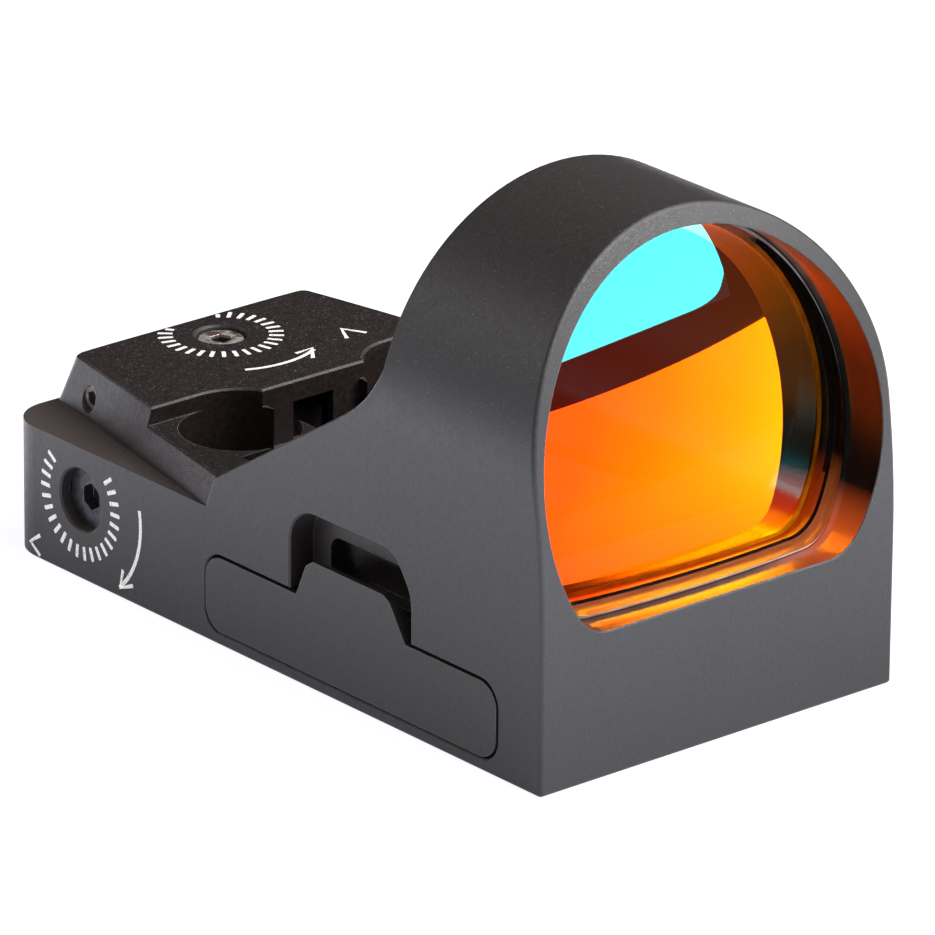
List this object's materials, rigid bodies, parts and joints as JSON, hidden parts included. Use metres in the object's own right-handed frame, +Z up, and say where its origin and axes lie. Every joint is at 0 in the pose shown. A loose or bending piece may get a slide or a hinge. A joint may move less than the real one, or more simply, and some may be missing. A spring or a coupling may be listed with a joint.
{
  "type": "red dot finder",
  "caption": "Open mini reflex red dot finder: arched hood with tilted coated lens, side battery drawer, windage and elevation screws on tick dials, screw-down base.",
  "frame": {"origin": "on the bottom face, midway between the two mounting-screw holes", "axes": "+Z up, -Y towards the target through the big window, +Y towards the observer, -X towards the battery drawer and windage dial"},
  "size_m": [0.0289, 0.0523, 0.033],
  "materials": {
    "anodised_body": "bead-blasted, hard black anodised",
    "anodised_drawer": "fine blasted, hard black anodised",
    "coated_lens": "polished, orange-reflecting coating that passes cyan",
    "lens_glass": "polished, clear",
    "black_adhesive": "satin",
    "board_laminate": "solder-masked laminate",
    "chip_plastic": "moulded",
    "spring_steel": "bright drawn",
    "black_steel": "black oxide",
    "adjuster_steel": "turned, dark, worn bright at the socket",
    "seal_rubber": "moulded",
    "contact_brass": "plated",
    "carriage_brass": "machined",
    "lead_insulation": "extruded",
    "cell_can": "bright nickel",
    "led_resin": "clear red resin",
    "button_rubber": "moulded"
  },
  "bodies": {
    "sight_body": {"housing": "anodised_body", "lens_front_element": "coated_lens", "lens_rear_element": "lens_glass", "lens_bond_ring": "black_adhesive", "emitter_window": "lens_glass", "circuit_board": "board_laminate", "dome_switches": "spring_steel", "board_components": "chip_plastic", "control_panel": "anodised_body", "control_panel_screws": "black_steel", "panel_gasket": "seal_rubber", "battery_contact_negative": "contact_brass", "battery_contact_positive": "contact_brass", "drawer_detent_spring": "spring_steel", "base_cover": "anodised_body", "base_cover_screws": "black_steel", "emitter_leads": "lead_insulation", "elevation_oring": "seal_rubber", "windage_oring": "seal_rubber", "elevation_spring": "spring_steel", "windage_spring": "spring_steel"},
    "battery_drawer": {"battery_drawer": "anodised_drawer", "battery_cell": "cell_can", "drawer_seal": "seal_rubber"},
    "elevation_screw": {"elevation_screw": "adjuster_steel", "elevation_clip": "spring_steel"},
    "elevation_carriage": {"elevation_carriage": "carriage_brass"},
    "windage_screw": {"windage_screw": "adjuster_steel", "windage_clip": "spring_steel"},
    "windage_nut": {"windage_nut": "carriage_brass"},
    "emitter_carriage": {"emitter_carriage": "carriage_brass", "emitter_board": "board_laminate", "led_emitter": "led_resin"},
    "elevation_lock_screw": {"elevation_lock_screw": "black_steel"},
    "windage_lock_screw": {"windage_lock_screw": "black_steel"},
    "brightness_up_button": {"brightness_up_button": "button_rubber"},
    "brightness_down_button": {"brightness_down_button": "button_rubber"}
  },
  "joints": [
    {"name": "drawer_slide", "type": "slide", "parent": "sight_body", "child": "battery_drawer", "axis": [-1, 0, 0], "range_m": [0, 0.0225], "deforming": ["battery_contact_negative", "drawer_detent_spring"]},
    {"name": "elevation_screw_turn", "type": "hinge", "parent": "sight_body", "child": "elevation_screw", "pos_m": [0, 0.01129, 0.011], "axis": [0, 0, 1], "range_deg": [-450, 450]},
    {"name": "elevation_carriage_slide", "type": "slide", "parent": "sight_body", "child": "elevation_carriage", "axis": [0, 0, 1], "range_m": [-0.000437, 0.000437], "deforming": ["elevation_spring"]},
    {"name": "windage_screw_turn", "type": "hinge", "parent": "sight_body", "child": "windage_screw", "pos_m": [-0.0125, 0.00773, 0.00535], "axis": [1, 0, 0], "range_deg": [-450, 450]},
    {"name": "windage_nut_slide", "type": "slide", "parent": "sight_body", "child": "windage_nut", "axis": [1, 0, 0], "range_m": [-0.000437, 0.000437]},
    {"name": "emitter_cross_slide", "type": "slide", "parent": "elevation_carriage", "child": "emitter_carriage", "axis": [1, 0, 0], "range_m": [-0.000437, 0.000437], "deforming": ["windage_spring"]},
    {"name": "elevation_lock_turn", "type": "hinge", "parent": "sight_body", "child": "elevation_lock_screw", "pos_m": [-0.0095, 0.01145, 0.0101], "axis": [1, 0, 0], "range_deg": [-90, 90]},
    {"name": "windage_lock_turn", "type": "hinge", "parent": "sight_body", "child": "windage_lock_screw", "pos_m": [-0.0126, 0.01415, 0.00535], "axis": [0, -1, 0], "range_deg": [-90, 90]},
    {"name": "brightness_up_press", "type": "slide", "parent": "sight_body", "child": "brightness_up_button", "axis": [-1, 0, 0], "range_m": [0, 0.0004], "stiffness_N_per_m": 15},
    {"name": "brightness_down_press", "type": "slide", "parent": "sight_body", "child": "brightness_down_button", "axis": [-1, 0, 0], "range_m": [0, 0.0004], "stiffness_N_per_m": 15}
  ],
  "couplings": [
    {"joint": "elevation_screw_turn", "follows": "elevation_carriage_slide", "rad_per_m": -17952},
    {"joint": "windage_screw_turn", "follows": "windage_nut_slide", "rad_per_m": -17952},
    {"joint": "emitter_cross_slide", "follows": "windage_nut_slide", "ratio": 1}
  ]
}
